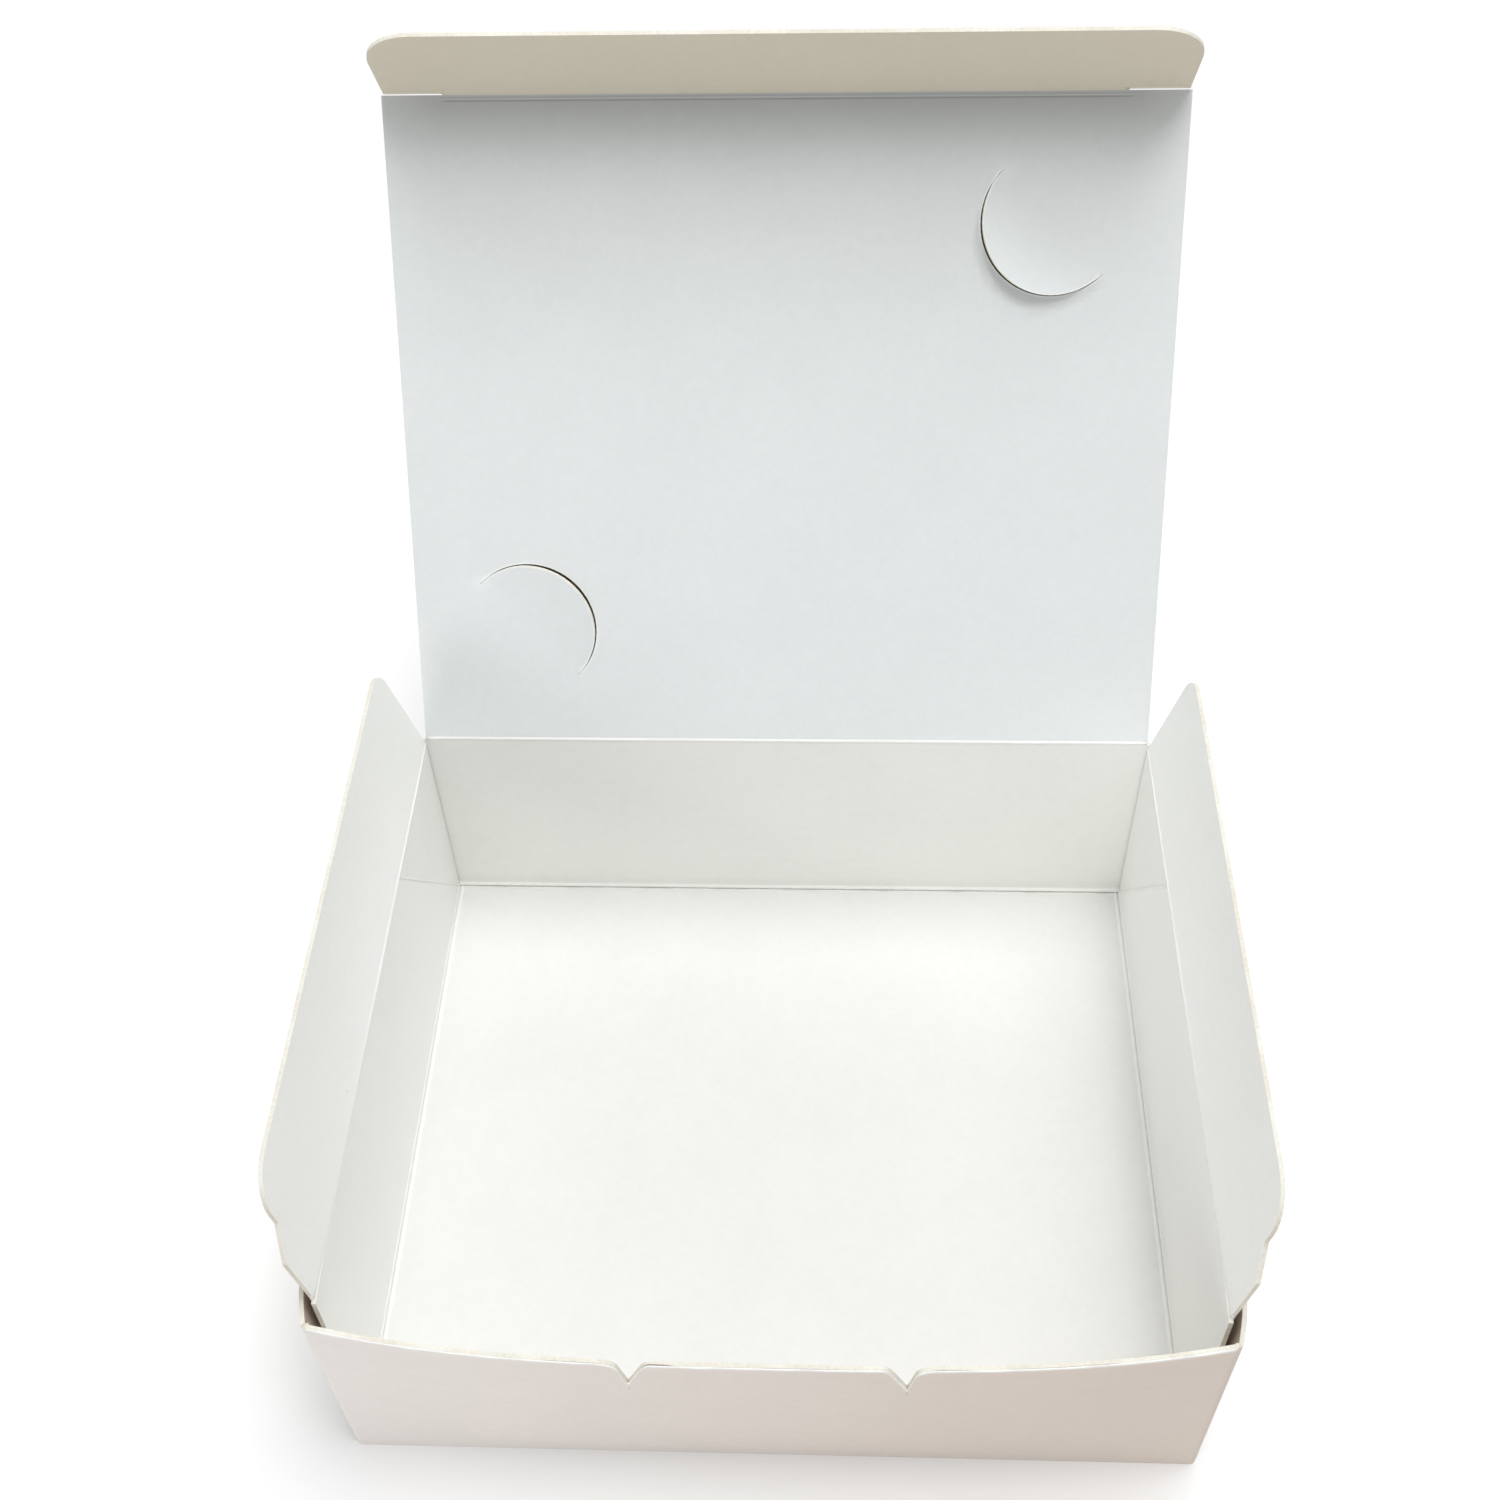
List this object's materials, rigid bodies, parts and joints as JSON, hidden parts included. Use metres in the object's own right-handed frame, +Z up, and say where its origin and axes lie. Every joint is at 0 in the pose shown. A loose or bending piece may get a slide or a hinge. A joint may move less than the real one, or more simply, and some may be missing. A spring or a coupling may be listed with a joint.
{
  "type": "cake slice box",
  "caption": "Open white card carton with a shallow tray, side dust flaps and a hinged lid with half-moon cuts and a tuck flap, for a slice of cake.",
  "frame": {"origin": "middle of the underside of the tray's base", "axes": "+Z up, +Y from the front wall towards the lid's fold, +X to the right seen from the front"},
  "size_m": [0.1676, 0.2046, 0.188],
  "materials": {
    "tray_board": "matte",
    "flap_board": "matte",
    "lid_board": "matte",
    "tuck_board": "matte"
  },
  "bodies": {
    "tray": {"tray": "tray_board"},
    "lid": {"lid": "lid_board"},
    "tuck_flap": {"tuck_flap": "tuck_board"},
    "left_dust_flap": {"left_dust_flap": "flap_board"},
    "right_dust_flap": {"right_dust_flap": "flap_board"}
  },
  "joints": [
    {"name": "lid_hinge", "type": "hinge", "parent": "tray", "child": "lid", "pos_m": [0, 0.0671, 0.0534], "axis": [1, 0, 0], "range_deg": [-61, 119]},
    {"name": "tuck_fold", "type": "hinge", "parent": "lid", "child": "tuck_flap", "pos_m": [0, 0.13153, 0.16964], "axis": [1, 0, 0], "range_deg": [-17.7, 34.5]},
    {"name": "left_flap_fold", "type": "hinge", "parent": "tray", "child": "left_dust_flap", "pos_m": [-0.0788, 0, 0.0523], "axis": [0, 1, 0], "range_deg": [-81, 105]},
    {"name": "right_flap_fold", "type": "hinge", "parent": "tray", "child": "right_dust_flap", "pos_m": [0.0788, 0, 0.0523], "axis": [0, -1, 0], "range_deg": [-81, 105]}
  ],
  "couplings": [
    {"joint": "tuck_fold", "follows": "lid_hinge", "ratio": 0.28991}
  ]
}
